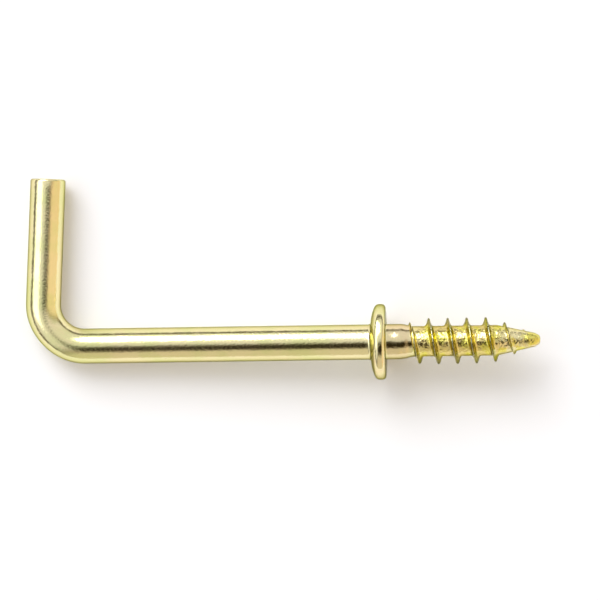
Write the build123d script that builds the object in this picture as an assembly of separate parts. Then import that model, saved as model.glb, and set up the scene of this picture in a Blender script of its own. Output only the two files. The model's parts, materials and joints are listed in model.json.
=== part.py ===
from build123d import *

import os
from math import asin, atan2, cos, degrees, hypot, radians, sin

# Shouldered square screw hook: one piece of cold-formed round wire.
# It lies at rest, on the outside of its arm and on the rim of its collar.
# Origin: centre of the collar's bearing face. +X runs along the screw to its tip,
# +Y towards the arm's free end, +Z up. Lengths are in millimetres, angles in degrees.
# The screw is modelled to the core of its thread, without the ridge.

# Wire, shank and arm
WIRE_DIAMETER = 2.6
HOOK_LENGTH = 26.65         # bearing face to the outside of the bend
ARM_HEIGHT = 13.7           # outside of the shank to the middle of the arm's cut end
BEND_RADIUS = 3.05          # on the wire's centre line
HOOK_ANGLE = 87.0           # between the shank and the arm
ARM_END_ROUNDING = 0.2

# Upset collar, flat towards the screw and domed towards the shank
COLLAR_DIAMETER = 5.6
COLLAR_THICKNESS = 1.1
COLLAR_RIM_WIDTH = 0.7
COLLAR_DOME_BULGE = 0.12    # height of the dome's arc over its chord
COLLAR_FACE_ROUNDING = 0.2  # between the bearing face and the rim
COLLAR_RIM_ROUNDING = 0.4   # between the rim and the dome
COLLAR_ROOT_FILLET = 0.2    # between the dome and the shank

# Screw
SCREW_LENGTH = 11.35        # bearing face to the tip
NECK_LENGTH = 1.2           # plain neck, of the wire's diameter
NECK_RUN_OUT = 0.7          # cone from the neck down to the thread's core
THREAD_CORE_DIAMETER = 2.2
POINT_LENGTH = 3.2          # tapered part of the core
POINT_END_DIAMETER = 0.72
POINT_END_ROUNDING = 0.3

WIRE_RADIUS = WIRE_DIAMETER / 2
COLLAR_RADIUS = COLLAR_DIAMETER / 2
CORE_RADIUS = THREAD_CORE_DIAMETER / 2
POINT_END_RADIUS = POINT_END_DIAMETER / 2
SHANK_JOIN = -COLLAR_THICKNESS - 2 * COLLAR_ROOT_FILLET

ARM_LEAN = radians(90 - HOOK_ANGLE)
BEND_CENTRE = Vector(BEND_RADIUS + WIRE_RADIUS - HOOK_LENGTH, BEND_RADIUS, 0)
ARM_DIRECTION = Vector(sin(ARM_LEAN), cos(ARM_LEAN), 0)
ARM_START = BEND_CENTRE + Vector(-cos(ARM_LEAN), sin(ARM_LEAN), 0) * BEND_RADIUS
ARM_LENGTH = (ARM_HEIGHT - WIRE_RADIUS - ARM_START.Y) / ARM_DIRECTION.Y
ARM_AXIS = Axis((0, 0, 0), tuple(ARM_DIRECTION))


def bent_wire():
    """The shank, bend and arm: one round section swept along the wire's centre line."""
    shank = Line((SHANK_JOIN, 0), (BEND_CENTRE.X, 0))
    bend = CenterArc((BEND_CENTRE.X, BEND_CENTRE.Y), BEND_RADIUS, -90, HOOK_ANGLE - 180)
    arm = Line(ARM_START, ARM_START + ARM_DIRECTION * ARM_LENGTH)
    section = Plane(origin=(SHANK_JOIN, 0, 0), z_dir=(-1, 0, 0)) * Circle(WIRE_RADIUS)
    wire = sweep(section, path=Wire([shank.edge(), bend.edge(), arm.edge()]))
    cut_edge = wire.edges().sort_by(ARM_AXIS)[-1]
    return fillet(cut_edge, ARM_END_ROUNDING)


def rounded(face, corner, radius):
    """The flat face with its corner nearest to the given point rounded."""
    return fillet(face.vertices().sort_by_distance(corner)[0], radius)


def headed_end():
    """Collar, neck, core and point, turned about the X axis."""
    dome_root = (-COLLAR_THICKNESS, WIRE_RADIUS)
    rim_back = (-COLLAR_RIM_WIDTH, COLLAR_RADIUS)
    rim_front = (0, COLLAR_RADIUS)
    point_corner = (SCREW_LENGTH, POINT_END_RADIUS)
    hook_side = Polyline((SHANK_JOIN, 0), (SHANK_JOIN, WIRE_RADIUS), dome_root)
    dome = SagittaArc(dome_root, rim_back, COLLAR_DOME_BULGE)
    screw_side = Polyline(
        rim_back,
        rim_front,
        (0, WIRE_RADIUS),
        (NECK_LENGTH, WIRE_RADIUS),
        (NECK_LENGTH + NECK_RUN_OUT, CORE_RADIUS),
        (SCREW_LENGTH - POINT_LENGTH, CORE_RADIUS),
        point_corner,
        (SCREW_LENGTH, 0),
        (SHANK_JOIN, 0),
    )
    outline = make_face([hook_side.edges(), dome.edges(), screw_side.edges()])
    outline = rounded(outline, dome_root, COLLAR_ROOT_FILLET)
    outline = rounded(outline, rim_back, COLLAR_RIM_ROUNDING)
    outline = rounded(outline, rim_front, COLLAR_FACE_ROUNDING)
    outline = rounded(outline, point_corner, POINT_END_ROUNDING)
    return revolve(outline, Axis.X)


def lay_angle():
    """How far the screw's tip lifts when arm and collar rest on a flat surface.

    The collar stands on its rounded edge, whose middle lies half its radius inside the rim's back.
    """
    rim_reach = COLLAR_RADIUS - COLLAR_RIM_ROUNDING
    rim_place = Vector(COLLAR_RIM_ROUNDING / 2 - COLLAR_RIM_WIDTH, 0, 0) - ARM_START
    span = abs(rim_place.cross(ARM_DIRECTION).Z)
    rim_drop = atan2(rim_reach, span)
    return rim_drop - asin((WIRE_RADIUS - COLLAR_RIM_ROUNDING) / hypot(span, rim_reach))


def square_hook():
    """The whole hook, turned about the arm's direction into the way that it rests."""
    return (bent_wire() + headed_end()).rotate(ARM_AXIS, -degrees(lay_angle()))


os.makedirs("parts", exist_ok=True)
export_step(square_hook(), "parts/square_hook.step")
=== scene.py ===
"""A shouldered square screw hook: brass-plated wire with an upset collar and a wood-screw thread."""

import json
import logging
from dataclasses import dataclass, field
from enum import Enum
from math import asin, atan2, cos, degrees, hypot, pi, radians, sin, sqrt

import bmesh
import bpy
from mathutils import Matrix, Vector, noise

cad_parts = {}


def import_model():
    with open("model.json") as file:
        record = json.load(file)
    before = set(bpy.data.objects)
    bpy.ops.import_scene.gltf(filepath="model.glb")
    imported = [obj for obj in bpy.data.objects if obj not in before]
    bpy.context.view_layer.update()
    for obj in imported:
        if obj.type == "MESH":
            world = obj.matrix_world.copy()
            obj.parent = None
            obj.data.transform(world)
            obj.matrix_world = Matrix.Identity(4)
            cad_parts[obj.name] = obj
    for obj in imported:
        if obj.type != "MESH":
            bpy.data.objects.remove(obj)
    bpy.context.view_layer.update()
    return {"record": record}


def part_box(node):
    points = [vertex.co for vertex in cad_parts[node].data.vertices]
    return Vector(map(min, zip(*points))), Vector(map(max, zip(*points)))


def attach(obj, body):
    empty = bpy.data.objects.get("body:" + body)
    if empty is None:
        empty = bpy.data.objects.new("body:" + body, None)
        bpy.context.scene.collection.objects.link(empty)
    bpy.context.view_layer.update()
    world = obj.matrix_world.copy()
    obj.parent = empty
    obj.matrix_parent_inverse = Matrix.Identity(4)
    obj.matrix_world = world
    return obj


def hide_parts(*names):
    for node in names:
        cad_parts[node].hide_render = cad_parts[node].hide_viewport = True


MM = 0.001
NODE = "square_hook"
BODY = "root"
SEGMENTS = 128
WELD = 1e-4

log = logging.getLogger("square_hook")


class Layer(Enum):
    """What each vertex remembers for the finish."""

    BLANK = "blank_place"
    DEPTH = "thread_depth"


# ---- Small mesh helpers. Lengths are in millimetres until the hook is placed. ----


def ring(bm: bmesh.types.BMesh, x: float, radius: float) -> list[bmesh.types.BMEdge]:
    """Makes a circle square to the X axis.

    Args:
        bm: the mesh that it is added to.
        x: its place along the axis.
        radius: its radius.

    Returns:
        The circle's edges.
    """
    place = Matrix.Translation((x, 0, 0)) @ Matrix.Rotation(pi / 2, 4, "Y")
    made = bmesh.ops.create_circle(bm, segments=SEGMENTS, radius=radius, matrix=place)
    return list({edge for vert in made["verts"] for edge in vert.link_edges})


def extend(bm: bmesh.types.BMesh, edges: list, step: float, scale: float = 1.0) -> list:
    """Draws a ring of edges out along the X axis into a band of faces.

    Args:
        bm: the mesh.
        edges: the ring to extrude.
        step: how far the new ring moves along X.
        scale: how much wider the new ring is.

    Returns:
        The new ring's edges.
    """
    made = bmesh.ops.extrude_edge_only(bm, edges=edges)["geom"]
    verts = [item for item in made if isinstance(item, bmesh.types.BMVert)]
    bmesh.ops.translate(bm, verts=verts, vec=(step, 0, 0))
    bmesh.ops.scale(bm, verts=verts, vec=(1, scale, scale))
    return [item for item in made if isinstance(item, bmesh.types.BMEdge)]


def polyline(bm: bmesh.types.BMesh, points: list[tuple[float, float]]) -> list:
    """Adds a run of edges in the XY plane.

    Args:
        bm: the mesh.
        points: distance along the axis and radius of each corner.

    Returns:
        The new vertices and edges.
    """
    verts = [bm.verts.new((x, radius, 0)) for x, radius in points]
    edges = [bm.edges.new(pair) for pair in zip(verts, verts[1:])]
    return verts + edges


def turned(bm: bmesh.types.BMesh, points: list[tuple[float, float]]) -> None:
    """Turns an outline about the X axis into a closed band.

    Args:
        bm: the mesh.
        points: distance along the axis and radius of each corner.
    """
    outline = polyline(bm, points)
    bmesh.ops.spin(bm, geom=outline, cent=(0, 0, 0), axis=(1, 0, 0), dvec=(0, 0, 0),
                   angle=2 * pi, steps=SEGMENTS, use_merge=True)


def open_ring(bm: bmesh.types.BMesh, x: float) -> list:
    """The open edges that lie square to the axis at one place."""
    return [edge for edge in bm.edges
            if edge.is_boundary and all(abs(vert.co.x - x) < WELD for vert in edge.verts)]


def join_rings(bm: bmesh.types.BMesh, first: float, second: float) -> None:
    """Bridges the open rings at two places along the axis."""
    bmesh.ops.bridge_loops(bm, edges=open_ring(bm, first) + open_ring(bm, second))


def arc(centre: tuple[float, float], radius: float, start: float, end: float, count: int) -> list:
    """Points along an arc of an outline.

    Args:
        centre: distance along the axis and radius of the arc's centre.
        radius: the arc's radius.
        start: the first point's angle, in degrees.
        end: the last point's angle, in degrees.
        count: how many points.

    Returns:
        The points, first to last.
    """
    angles = [radians(start + (end - start) * index / (count - 1)) for index in range(count)]
    return [(centre[0] + radius * cos(a), centre[1] + radius * sin(a)) for a in angles]


def smooth_step(value: float) -> float:
    """0 up to 0, 1 from 1 on, and a smooth rise between."""
    held = min(max(value, 0.0), 1.0)
    return held * held * (3 - 2 * held)


# ---- The hook's parts, all on one straight blank before it is bent ----


@dataclass(frozen=True)
class BentWire:
    """The shank, bend and arm: the plain wire behind the collar."""

    radius: float = 1.296
    reach: float = 26.644
    arm_height: float = 13.69
    bend_radius: float = 3.05
    arm_lean: float = 3.0
    start: float = -1.6
    ring_gap: float = 0.7
    bend_rings: int = 30
    edge_round: float = 0.17
    edge_segments: int = 5
    end_steps: tuple = ((0.12, 0.0), (0.3, -0.012), (0.35, -0.012))
    flattening: float = 0.05

    @property
    def bend_start(self) -> float:
        """Where the bend begins, along the axis."""
        return self.bend_radius + self.radius - self.reach

    @property
    def bend_turn(self) -> float:
        """How far the bend turns the wire, in radians."""
        return radians(90 + self.arm_lean)

    @property
    def arm_length(self) -> float:
        """Length of the straight arm."""
        rise = self.bend_radius * (1 + sin(radians(self.arm_lean)))
        return (self.arm_height - self.radius - rise) / cos(radians(self.arm_lean))

    def build(self, bm: bmesh.types.BMesh) -> None:
        """Draws the straight blank out from the collar to the arm's cut end.

        Args:
            bm: the mesh that the blank is added to.
        """
        edges = ring(bm, self.start, self.radius)
        runs = (
            (self.start - self.bend_start, None),
            (self.bend_radius * self.bend_turn, self.bend_rings),
            (self.arm_length, None),
        )
        for length, rings in runs:
            count = rings or round(length / self.ring_gap)
            for _ in range(count):
                edges = extend(bm, edges, -length / count)
        self._cut_end(bm, edges)

    def _cut_end(self, bm: bmesh.types.BMesh, edges: list) -> None:
        """Closes the arm's end with a cut face whose rim is rounded.

        Args:
            bm: the mesh.
            edges: the open ring at the arm's end.
        """
        face = bmesh.ops.contextual_create(bm, geom=edges)["faces"][0]
        rim = list(face.edges)
        bmesh.ops.bevel(bm, geom=rim, offset=self.edge_round, offset_type="OFFSET", affect="EDGES",
                        segments=self.edge_segments, profile=0.5, material=-1)
        end = min(bm.faces, key=lambda item: item.calc_center_median().x)
        for width, depth in self.end_steps:
            bmesh.ops.inset_region(bm, faces=[end], thickness=width, depth=depth, use_even_offset=True)
        bmesh.ops.poke(bm, faces=[end])

    def bend(self, place: Vector) -> Vector:
        """Carries a point of the straight blank to where the bending leaves it.

        Args:
            place: a point of the straight blank.

        Returns:
            The same point of the bent wire.
        """
        past = self.bend_start - place.x
        if past <= 0:
            return place
        turn = min(past / self.bend_radius, self.bend_turn)
        straight = max(past - self.bend_radius * self.bend_turn, 0.0)
        drawn = 1 - self.flattening * sin(pi * turn / self.bend_turn) ** 2
        across = place.y * (drawn if place.y < 0 else 1.0)
        arm = self.bend_radius - across
        centre = Vector((self.bend_start, self.bend_radius, 0))
        along = Vector((-cos(turn), sin(turn), 0))
        outward = Vector((-sin(turn), -cos(turn), 0))
        return centre + outward * arm + along * straight + Vector((0, 0, place.z))


@dataclass(frozen=True)
class Collar:
    """The upset collar: flat towards the screw, domed towards the shank."""

    radius: float = 2.795
    dome_centre: tuple = (1.467, 1.419)
    dome_radius: float = 2.57
    rim_round: float = 0.4
    root_fillet: float = 0.2
    face_round: float = 0.3
    steps: int = 10

    def outline(self, wire: BentWire, neck_end: float) -> list[tuple[float, float]]:
        """The outline from the shank over the collar and down to the neck.

        Args:
            wire: the wire that the collar is upset on.
            neck_end: where the plain neck ends.

        Returns:
            Distance along the axis and radius of each point.
        """
        root = self._beside_dome(wire.radius + self.root_fillet, self.root_fillet)
        crown = self._beside_dome(self.radius - self.rim_round, -self.rim_round)
        root_end = degrees(atan2(self.dome_centre[1] - root[1], self.dome_centre[0] - root[0]))
        crown_start = degrees(atan2(crown[1] - self.dome_centre[1], crown[0] - self.dome_centre[0]))
        edge = (-self.face_round, self.radius - self.face_round)
        points = [(wire.start, wire.radius)]
        points += arc(root, self.root_fillet, -90, root_end, self.steps)
        points += arc(self.dome_centre, self.dome_radius, 180 + root_end, crown_start, self.steps)[1:-1]
        points += arc(crown, self.rim_round, crown_start, 90, self.steps)
        points += arc(edge, self.face_round, 90, 8, self.steps)
        points += [(0, self.radius - 0.7), (0, wire.radius + 0.06)]
        points += arc((0.06, wire.radius + 0.06), 0.06, 180, 270, 4)
        points += [(neck_end * 0.6, wire.radius), (neck_end, wire.radius)]
        return points

    def _beside_dome(self, height: float, gap: float) -> tuple[float, float]:
        """The centre of a rounding that touches the dome.

        Args:
            height: the centre's distance from the axis.
            gap: its distance outside the dome, or inside where it is negative.

        Returns:
            Distance along the axis and radius.
        """
        across = height - self.dome_centre[1]
        return self.dome_centre[0] - sqrt((self.dome_radius + gap) ** 2 - across ** 2), height

    def build(self, bm: bmesh.types.BMesh, wire: BentWire, neck_end: float) -> None:
        """Turns the collar and the neck about the axis.

        Args:
            bm: the mesh.
            wire: the wire that the collar is upset on.
            neck_end: where the plain neck ends.
        """
        turned(bm, self.outline(wire, neck_end))


@dataclass(frozen=True)
class ScrewThread:
    """The right-hand wood-screw thread on its core, and the blunt point."""

    neck_radius: float = 1.296
    neck_end: float = 1.15
    major_radius: float = 1.7
    core_radius: float = 1.12
    pitch: float = 1.4
    phase: float = 0.36
    ridge_half_width: float = 0.28
    crest_half_width: float = 0.03
    taper_start: float = 8.2
    tip: float = 11.35
    point_radius: float = 0.42
    point_round: float = 0.32
    crest_taper_start: float = 7.75
    crest_taper_end: float = 10.7
    cap_start: float = 10.93
    turns: int = 9
    wobble: float = 0.04

    def core(self, x: float) -> float:
        """Radius of the groove's bottom at a distance from the bearing face."""
        body = self.core_radius + (self.neck_radius - self.core_radius) * (
            1 - smooth_step((x - self.neck_end) / 0.9))
        taper = max(x - self.taper_start, 0.0) / (self.tip - self.taper_start)
        return body + (self.point_radius - self.core_radius) * taper

    def crest(self, x: float) -> float:
        """Radius of the ridge's crest: it rises out of the neck and tapers with the point."""
        rise = smooth_step((x - self.neck_end - 0.1) / 1.5)
        body = self.neck_radius + (self.major_radius - self.neck_radius) * rise
        taper = (x - self.crest_taper_start) / (self.crest_taper_end - self.crest_taper_start)
        end = self.core(self.crest_taper_end)
        line = self.major_radius + (end - self.major_radius) * max(taper, 0.0)
        return max(min(body, line), self.core(x))

    def profile(self) -> list[tuple[float, float]]:
        """One pitch of the skin: offset from the ridge's middle, and height from 0 to 1."""
        half = self.pitch / 2
        foot = self.ridge_half_width
        side = [(half, 0.0), (half - 0.11, 0.0), (foot + 0.09, 0.0), (foot, 0.03), (foot * 0.72, 0.16),
                (foot * 0.43, 0.42), (foot * 0.21, 0.74), (self.crest_half_width, 0.985)]
        return [(-x, h) for x, h in side] + [(0.0, 1.0)] + [(x, h) for x, h in reversed(side)]

    def build(self, bm: bmesh.types.BMesh) -> None:
        """Winds one pitch of the skin along the screw, shapes it and closes the point.

        Args:
            bm: the mesh.
        """
        skin = bmesh.new()
        start = [(self.phase + x, 1 + h) for x, h in self.profile()]
        bmesh.ops.spin(skin, geom=polyline(skin, start), cent=(0, 0, 0), axis=(1, 0, 0),
                       dvec=(self.pitch / SEGMENTS, 0, 0), angle=2 * pi * self.turns,
                       steps=SEGMENTS * self.turns, use_merge=False)
        bmesh.ops.remove_doubles(skin, verts=skin.verts, dist=WELD)
        for vert in skin.verts:
            vert.co = self._shaped(vert.co)
        for place, outer in ((self.neck_end + 0.02, False), (self.cap_start, True)):
            geometry = list(skin.verts) + list(skin.edges) + list(skin.faces)
            bmesh.ops.bisect_plane(skin, geom=geometry, dist=1e-5, plane_co=(place, 0, 0),
                                   plane_no=(1, 0, 0), clear_outer=outer, clear_inner=not outer)
        shaped = bpy.data.meshes.new("thread_skin")
        skin.to_mesh(shaped)
        skin.free()
        bm.from_mesh(shaped)
        bpy.data.meshes.remove(shaped)
        self._point(bm)

    def _shaped(self, place: Vector) -> Vector:
        """Gives a wound point its true radius.

        Args:
            place: a point of the wound strip, whose radius less 1 is its height on the ridge.

        Returns:
            The point on the thread's skin.
        """
        height = hypot(place.y, place.z) - 1
        angle = atan2(place.z, place.y)
        turn = round((place.x - self.phase) / self.pitch - angle / (2 * pi))
        middle = self.phase + self.pitch * (turn + angle / (2 * pi))
        offset = place.x - middle
        uneven = noise.noise(Vector((middle * 1.7, cos(angle), sin(angle)))) * self.wobble
        core = self.core(place.x)
        rise = max(self.crest(middle) + uneven - self.core(middle), 0.0)
        fullness = rise / (self.major_radius - self.core_radius)
        foot = self.ridge_half_width + 0.09
        half = self.pitch / 2
        width = min(fullness, 1.0)
        if abs(offset) <= foot:
            offset *= width
        else:
            spare = (abs(offset) - foot) / (half - foot)
            offset = (foot * width + spare * (half - foot * width)) * (1 if offset > 0 else -1)
        x = middle + offset
        radius = self.core(x) + height * rise
        return Vector((x, radius * cos(angle), radius * sin(angle)))

    def _point(self, bm: bmesh.types.BMesh) -> None:
        """Closes the screw with its blunt, rounded tip.

        Args:
            bm: the mesh.
        """
        start = self.cap_start + 0.04
        centre = (self.tip - self.point_round, self.core(self.tip) - self.point_round)
        points = [(start, self.core(start))]
        points += arc((centre[0], max(centre[1], 0.0)), self.point_round, 75, 0, 8)
        points += [(self.tip, 0.0)]
        turned(bm, points)


@dataclass
class SquareHook:
    """The whole hook: one closed skin, dressed in bright brass plating."""

    wire: BentWire = field(default_factory=BentWire)
    collar: Collar = field(default_factory=Collar)
    thread: ScrewThread = field(default_factory=ScrewThread)

    def build(self, record: dict) -> bpy.types.Object:
        """Builds the skin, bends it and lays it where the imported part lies.

        Args:
            record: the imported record, which states the mounts.

        Returns:
            The finished piece.
        """
        bm = bmesh.new()
        self.wire.build(bm)
        self.collar.build(bm, self.wire, self.thread.neck_end)
        bmesh.ops.remove_doubles(bm, verts=bm.verts, dist=WELD)
        self.thread.build(bm)
        join_rings(bm, self.thread.neck_end, self.thread.neck_end + 0.02)
        join_rings(bm, self.thread.cap_start, self.thread.cap_start + 0.04)
        bmesh.ops.remove_doubles(bm, verts=bm.verts, dist=WELD)
        bmesh.ops.recalc_face_normals(bm, faces=bm.faces)
        self._mark_blank(bm)
        for vert in bm.verts:
            vert.co = self.wire.bend(vert.co)
        bmesh.ops.transform(bm, matrix=self._resting_place(record), verts=bm.verts)
        log.info("skin: %d faces, open edges %d", len(bm.faces), sum(e.is_boundary for e in bm.edges))
        return self._piece(bm)

    def _mark_blank(self, bm: bmesh.types.BMesh) -> None:
        """Keeps each point's place on the straight blank, and its depth in the thread, for the finish.

        Args:
            bm: the mesh, still straight.
        """
        blank = bm.verts.layers.float_vector.new(Layer.BLANK.value)
        depth = bm.verts.layers.float.new(Layer.DEPTH.value)
        for vert in bm.verts:
            vert[blank] = vert.co * MM
            threaded = smooth_step((vert.co.x - self.thread.neck_end) / 0.6)
            radius = hypot(vert.co.y, vert.co.z)
            span = self.thread.major_radius - self.thread.core_radius
            vert[depth] = threaded * min(max((self.thread.crest(vert.co.x) - radius) / span, 0.0), 1.0)

    def _resting_place(self, record: dict) -> Matrix:
        """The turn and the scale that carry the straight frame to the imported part's.

        Args:
            record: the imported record.

        Returns:
            The matrix, from millimetres to metres.
        """
        mounts = {mount["name"]: mount for mount in record["mounts"]}
        screw_axis = Vector(mounts["shoulder_face"]["axis"])
        arm_axis = Vector(mounts["hook_arm"]["axis"])
        lift = asin(screw_axis.z / cos(radians(self.wire.arm_lean)))
        return Matrix.Rotation(-lift, 4, arm_axis) @ Matrix.Scale(MM, 4)

    def _piece(self, bm: bmesh.types.BMesh) -> bpy.types.Object:
        """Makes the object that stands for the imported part.

        Args:
            bm: the finished mesh, which is freed.

        Returns:
            The object.
        """
        mesh = bpy.data.meshes.new("square_hook_skin")
        bm.to_mesh(mesh)
        bm.free()
        mesh.shade_smooth()
        piece = bpy.data.objects.new("square_hook_skin", mesh)
        bpy.context.scene.collection.objects.link(piece)
        mesh.set_sharp_from_angle(angle=radians(38))
        return piece


# ---- Finish ----


class NodeWriter:
    """Adds shader nodes to a material or a world and links them."""

    def __init__(self, tree: bpy.types.NodeTree) -> None:
        """Clears the tree and keeps it."""
        self.tree = tree
        tree.nodes.clear()

    def add(self, kind: str, settings: dict | None = None, **inputs: object) -> bpy.types.Node:
        """Adds one node.

        Args:
            kind: the node's type, without its ShaderNode prefix.
            settings: properties of the node.
            inputs: sockets by name, with spaces as underscores: a number, a colour or another socket.

        Returns:
            The node.
        """
        node = self.tree.nodes.new("ShaderNode" + kind)
        for name, value in (settings or {}).items():
            setattr(node, name, value)
        for name, value in inputs.items():
            socket = self._socket(node, name)
            if isinstance(value, bpy.types.NodeSocket):
                self.tree.links.new(value, socket)
            else:
                socket.default_value = value
        return node

    def _socket(self, node: bpy.types.Node, name: str) -> bpy.types.NodeSocket:
        """Finds an input by name, or by place where the name is i and a number."""
        if name[0] == "i" and name[1:].isdigit():
            return node.inputs[int(name[1:])]
        return node.inputs[name.replace("_", " ")]

    def math(self, operation: str, first: object, second: object = 0.0) -> bpy.types.NodeSocket:
        """A maths node's result."""
        return self.add("Math", {"operation": operation}, i0=first, i1=second).outputs[0]

    def ramp(self, value: bpy.types.NodeSocket, low: float, high: float,
             to_low: float = 0.0, to_high: float = 1.0) -> bpy.types.NodeSocket:
        """A smooth, clamped change from one value to another."""
        node = self.add("MapRange", {"interpolation_type": "SMOOTHSTEP"}, i0=value, i1=low, i2=high,
                        i3=to_low, i4=to_high)
        return node.outputs[0]

    def blend(self, operation: str, first: object, second: object) -> bpy.types.NodeSocket:
        """Two colours joined part by part."""
        return self.add("VectorMath", {"operation": operation}, i0=first, i1=second).outputs[0]

    def scaled(self, colour: object, level: bpy.types.NodeSocket) -> bpy.types.NodeSocket:
        """A colour at a level."""
        return self.add("VectorMath", {"operation": "SCALE"}, i0=colour, Scale=level).outputs[0]

    def mix(self, factor: object, first: object, second: object) -> bpy.types.NodeSocket:
        """A mix of two colours."""
        node = self.add("Mix", {"data_type": "RGBA"}, i0=factor, i6=first, i7=second)
        return node.outputs[2]


@dataclass(frozen=True)
class BrassPlating:
    """Bright yellow brass plating on drawn wire, under a thin clear passivation.

    The pattern sizes are in cells per metre.
    """

    gold: tuple = (0.93, 0.83, 0.46, 1)
    olive: tuple = (0.83, 0.81, 0.38, 1)
    red_gold: tuple = (0.94, 0.73, 0.43, 1)
    # painted shade for the thread's grooves
    painted_groove_shade: tuple = (0.80, 0.62, 0.20, 1)
    vivid: tuple = (0.86, 0.78, 0.14, 1)
    copper: tuple = (0.78, 0.52, 0.36, 1)
    # painted dark reflection on the thread's crests
    crest_dark_reflection: tuple = (0.30, 0.29, 0.22, 1)
    edge_tint: tuple = (0.30, 0.31, 0.12, 1)
    roughness: float = 0.15
    coat: float = 0.05
    coat_roughness: float = 0.1
    cloud_cells: float = 420
    tint_cells: float = 900
    patch_cells: float = 1100
    coarse_cells: float = 3200
    streak_cells: float = 5200
    grain_cells: float = 6200
    bump_strength: float = 0.5
    bump_depth: float = 0.00002

    def material(self) -> bpy.types.Material:
        """Builds the finish.

        Returns:
            The material.
        """
        made = bpy.data.materials.new("brass_plating")
        made.use_nodes = True
        pen = NodeWriter(made.node_tree)
        blank = pen.add("Attribute", {"attribute_name": Layer.BLANK.value}).outputs["Vector"]
        depth = pen.add("Attribute", {"attribute_name": Layer.DEPTH.value}).outputs["Fac"]
        along = pen.add("SeparateXYZ", Vector=blank).outputs["X"]
        threaded = pen.ramp(along, 0.0016, 0.003)
        grain = self._noise(pen, blank, self.grain_cells, 3)
        base = self._colour(pen, blank, along, depth, threaded)
        rough = pen.math("ADD", self.roughness - 0.05, pen.math("MULTIPLY", grain, 0.1))
        rough = pen.math("ADD", rough, pen.math("MULTIPLY", threaded, 0.06))
        bump = self._bump(pen, blank, grain, threaded)
        shader = pen.add("BsdfPrincipled", Base_Color=base, Metallic=1.0, Roughness=rough,
                         Specular_Tint=self.edge_tint,
                         Coat_Weight=self.coat, Coat_Roughness=self.coat_roughness, Normal=bump)
        pen.add("OutputMaterial", Surface=shader.outputs[0])
        return made

    def _colour(self, pen: NodeWriter, blank: bpy.types.NodeSocket, along: bpy.types.NodeSocket,
                depth: bpy.types.NodeSocket, threaded: bpy.types.NodeSocket) -> bpy.types.NodeSocket:
        """The plating's colour: clouded with olive and red gold, patchy in the thread, with painted shade in
        the thread's grooves and a painted dark reflection on its crests.

        Args:
            pen: the material's node writer.
            blank: place on the straight blank.
            along: its X part.
            depth: depth below the thread's crest, from 0 to 1.
            threaded: 0 on the plain wire and 1 on the thread.

        Returns:
            The colour.
        """
        drawn = pen.add("Mapping", Vector=blank, Scale=(0.12, 1, 1)).outputs[0]
        clouds = self._noise(pen, blank, self.cloud_cells, 3)
        tint = self._noise(pen, drawn, self.tint_cells, 2)
        patches = self._noise(pen, blank, self.patch_cells, 2)
        base = pen.mix(pen.ramp(clouds, 0.38, 0.68), self.gold, self.olive)
        base = pen.mix(pen.ramp(tint, 0.5, 0.75, 0.0, 0.6), base, self.red_gold)
        neck = pen.math("MULTIPLY", pen.ramp(along, 0.0, 0.0002), pen.ramp(along, 0.0014, 0.0022, 0.35, 0.0))
        base = pen.mix(neck, base, self.copper)
        # painted shade: the grooves turn a deeper, darker gold the further they lie below the crest
        groove_shade_mask = pen.math("MULTIPLY", threaded, pen.ramp(depth, 0.3, 1.0, 0.0, 0.75))
        base = pen.mix(groove_shade_mask, base, self.painted_groove_shade)
        patchy = pen.math("MULTIPLY", threaded, pen.ramp(patches, 0.46, 0.62, 0.0, 0.85))
        base = pen.mix(patchy, base, self.vivid)
        # painted reflection: the crests darken towards dark grey, standing in for mirrored dark
        # surroundings, except near the point
        crest = pen.math("MULTIPLY", threaded, pen.ramp(depth, 0.04, 0.3, 0.65, 0.0))
        crest = pen.math("MULTIPLY", crest, pen.ramp(along, 0.0088, 0.0098, 1.0, 0.0))
        return pen.mix(crest, base, self.crest_dark_reflection)

    def _bump(self, pen: NodeWriter, blank: bpy.types.NodeSocket, grain: bpy.types.NodeSocket,
              threaded: bpy.types.NodeSocket) -> bpy.types.NodeSocket:
        """Fine pits and drawing marks on the wire, and coarser roughness on the rolled thread.

        Args:
            pen: the material's node writer.
            blank: place on the straight blank.
            grain: the fine grain.
            threaded: 0 on the plain wire and 1 on the thread.

        Returns:
            The normal.
        """
        drawn = pen.add("Mapping", Vector=blank, Scale=(0.15, 1, 1)).outputs[0]
        streaks = self._noise(pen, drawn, self.streak_cells, 2)
        coarse = self._noise(pen, blank, self.coarse_cells, 2)
        height = pen.math("ADD", grain, pen.math("MULTIPLY", streaks, 0.5))
        rolled = pen.math("MULTIPLY", pen.math("MULTIPLY", coarse, threaded), 9.0)
        height = pen.math("ADD", height, rolled)
        bump = pen.add("Bump", Strength=self.bump_strength, Distance=self.bump_depth, Height=height)
        return bump.outputs[0]

    def _noise(self, pen: NodeWriter, place: bpy.types.NodeSocket, scale: float,
               detail: float) -> bpy.types.NodeSocket:
        """A noise of one scale, in cells per metre."""
        return pen.add("TexNoise", Vector=place, Scale=scale, Detail=detail).outputs[0]


# ---- Stage ----


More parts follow.
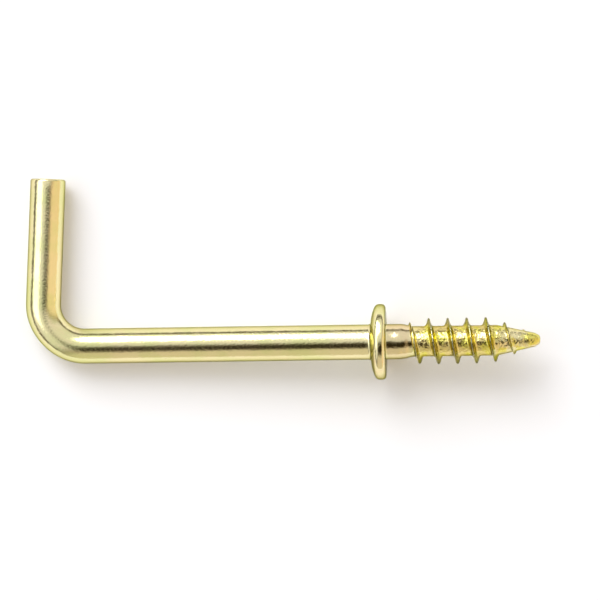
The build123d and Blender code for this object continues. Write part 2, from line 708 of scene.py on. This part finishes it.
@dataclass(frozen=True)
class Stage:
    """A white table, a soft sky of light, and the camera that looks straight down.

    Azimuths run from +X towards +Y and zeniths from straight up, in degrees. An edge is where a part of
    the sky begins and where it is whole, in degrees from its middle.
    """

    floor_size: float = 0.6
    camera_height: float = 0.30
    view_width: float = 0.04422
    view_turn: float = -0.85
    centre_back: float = 0.00634
    centre_side: float = 0.00308
    key_azimuth: float = 122.0
    key_zenith: float = 50.0
    panel_azimuth: float = 135.0
    fill_azimuth: float = -45.0
    card_azimuth: float = 175.0
    card_zenith: float = 50.0
    flag_azimuth: float = -76.0
    flag_zenith: float = 21.0
    card_level: float = 1.1
    card_edge: tuple = (24, 14)
    core_edge: tuple = (26, 13)
    flag_edge: tuple = (30, 13)
    floor_glow: float = 0.07
    fill_level: float = 0.7
    dark_level: float = 0.12
    panel_level: float = 0.72
    core_level: float = 5.4
    key_tint: tuple = (0.97, 0.99, 1.06)
    fill_tint: tuple = (1.0, 0.92, 0.78, 1)
    warm_tint: tuple = (1.0, 0.82, 0.62, 1)
    flag_tint: tuple = (0.04, 0.028, 0.002, 1)

    def build(self, floor_level: float) -> None:
        """Builds the floor, the light and the camera.

        Args:
            floor_level: height of the surface that the hook lies on.
        """
        self._floor(floor_level)
        self._sky()
        self._camera()

    def _floor(self, level: float) -> None:
        """Makes the table.

        Args:
            level: its height.
        """
        bm = bmesh.new()
        bmesh.ops.create_grid(bm, x_segments=1, y_segments=1, size=self.floor_size / 2,
                              matrix=Matrix.Translation((0, 0, level)))
        mesh = bpy.data.meshes.new("floor")
        bm.to_mesh(mesh)
        bm.free()
        floor = bpy.data.objects.new("floor", mesh)
        bpy.context.scene.collection.objects.link(floor)
        made = bpy.data.materials.new("white_table")
        made.use_nodes = True
        pen = NodeWriter(made.node_tree)
        matt = pen.add("BsdfDiffuse", Color=(0.87, 0.87, 0.87, 1)).outputs[0]
        path = pen.add("LightPath").outputs
        seen = pen.math("MAXIMUM", path["Is Camera Ray"], path["Is Glossy Ray"])
        seen = pen.math("MAXIMUM", seen, path["Is Transmission Ray"])
        glow = pen.add("Emission", Color=(1, 1, 1, 1), Strength=pen.math("MULTIPLY", seen, self.floor_glow))
        both = pen.add("AddShader", i0=matt, i1=glow.outputs[0]).outputs[0]
        pen.add("OutputMaterial", Surface=both)
        mesh.materials.append(made)

    def _sky(self) -> None:
        """Lights the scene from a soft sky: bright at the back left, warm at the front, dark overhead."""
        world = bpy.data.worlds.new("soft_sky")
        world.use_nodes = True
        pen = NodeWriter(world.node_tree)
        direction = pen.add("TexCoord").outputs["Generated"]
        parts = pen.add("SeparateXYZ", Vector=direction).outputs
        height, right = parts["Z"], parts["X"]
        key = self._towards(pen, direction, self.key_azimuth, self.key_zenith)
        side = self._towards(pen, direction, self.fill_azimuth, 90.0)
        card = self._towards(pen, direction, self.card_azimuth, self.card_zenith)
        flag = self._towards(pen, direction, self.flag_azimuth, self.flag_zenith)
        room = pen.ramp(side, 0.05, 0.48, self.dark_level, self.fill_level)
        room = pen.math("MULTIPLY", room, pen.ramp(right, 0.1, 0.6, 1.0, 1.35))
        card = self._spot(pen, card, self.card_edge, self.card_level)
        lit_half = self._towards(pen, direction, self.panel_azimuth, 90.0)
        panel = pen.math("MULTIPLY", pen.ramp(lit_half, -0.3, 0.0, 0.0, self.panel_level),
                         pen.ramp(height, 0.12, 0.35))
        core = self._spot(pen, key, self.core_edge, self.core_level)
        warmth = pen.mix(pen.ramp(right, 0.1, 0.5), self.fill_tint, self.warm_tint)
        light = pen.blend("ADD", pen.scaled(warmth, room),
                          pen.scaled(self.key_tint, pen.math("ADD", card, pen.math("ADD", panel, core))))
        open_sky = self._spot(pen, flag, self.flag_edge, 1.0)
        light = pen.blend("MULTIPLY", light, pen.mix(open_sky, (1, 1, 1, 1), self.flag_tint))
        above = pen.ramp(height, -0.06, 0.0)
        path = pen.add("LightPath").outputs["Is Camera Ray"]
        plain = pen.add("Background", Color=(1, 1, 1, 1), Strength=1.0).outputs[0]
        soft = pen.add("Background", Color=light, Strength=above).outputs[0]
        mixed = pen.add("MixShader", i0=path, i1=soft, i2=plain).outputs[0]
        pen.add("OutputWorld", Surface=mixed)
        bpy.context.scene.world = world

    def _towards(self, pen: NodeWriter, direction: bpy.types.NodeSocket, azimuth: float,
                 zenith: float) -> bpy.types.NodeSocket:
        """How nearly a direction points one way, as a cosine.

        Args:
            pen: the world's node writer.
            direction: the direction looked in.
            azimuth: the way's angle from +X towards +Y, in degrees.
            zenith: its angle from straight up, in degrees.

        Returns:
            The cosine of the angle between them.
        """
        flat = sin(radians(zenith))
        way = (flat * cos(radians(azimuth)), flat * sin(radians(azimuth)), cos(radians(zenith)))
        return pen.add("VectorMath", {"operation": "DOT_PRODUCT"}, i0=direction, i1=way).outputs["Value"]

    def _spot(self, pen: NodeWriter, nearness: bpy.types.NodeSocket, edge: tuple,
              level: float) -> bpy.types.NodeSocket:
        """A round part of the sky.

        Args:
            pen: the world's node writer.
            nearness: cosine of the angle from its middle.
            edge: where it begins and where it is whole, in degrees from its middle.
            level: its level where it is whole.

        Returns:
            Its level at the direction looked in.
        """
        return pen.ramp(nearness, cos(radians(edge[0])), cos(radians(edge[1])), 0.0, level)

    def _camera(self) -> None:
        """Sets the camera straight above, turned a little with the hook."""
        data = bpy.data.cameras.new("camera")
        data.lens = data.sensor_width * self.camera_height / self.view_width
        data.clip_start = 0.001
        data.clip_end = 10.0
        camera = bpy.data.objects.new("camera", data)
        turn = Matrix.Rotation(radians(self.view_turn), 3, "Z")
        camera.location = turn @ Vector((-self.centre_back, self.centre_side, self.camera_height))
        camera.rotation_euler = (0, 0, radians(self.view_turn))
        bpy.context.scene.collection.objects.link(camera)
        bpy.context.scene.camera = camera


def main() -> None:
    """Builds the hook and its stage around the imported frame."""
    logging.basicConfig(level=logging.INFO, format="%(message)s")
    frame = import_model()
    low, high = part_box(NODE)
    log.info("packed hook: %s to %s", tuple(low), tuple(high))
    hook = SquareHook().build(frame["record"])
    hook.data.materials.append(BrassPlating().material())
    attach(hook, BODY)
    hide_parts(NODE)
    floor_level = min(vert.co.z for vert in hook.data.vertices)
    Stage().build(floor_level)
    scene = bpy.context.scene
    scene.view_settings.view_transform = "Standard"


if __name__ == "__main__":
    main()
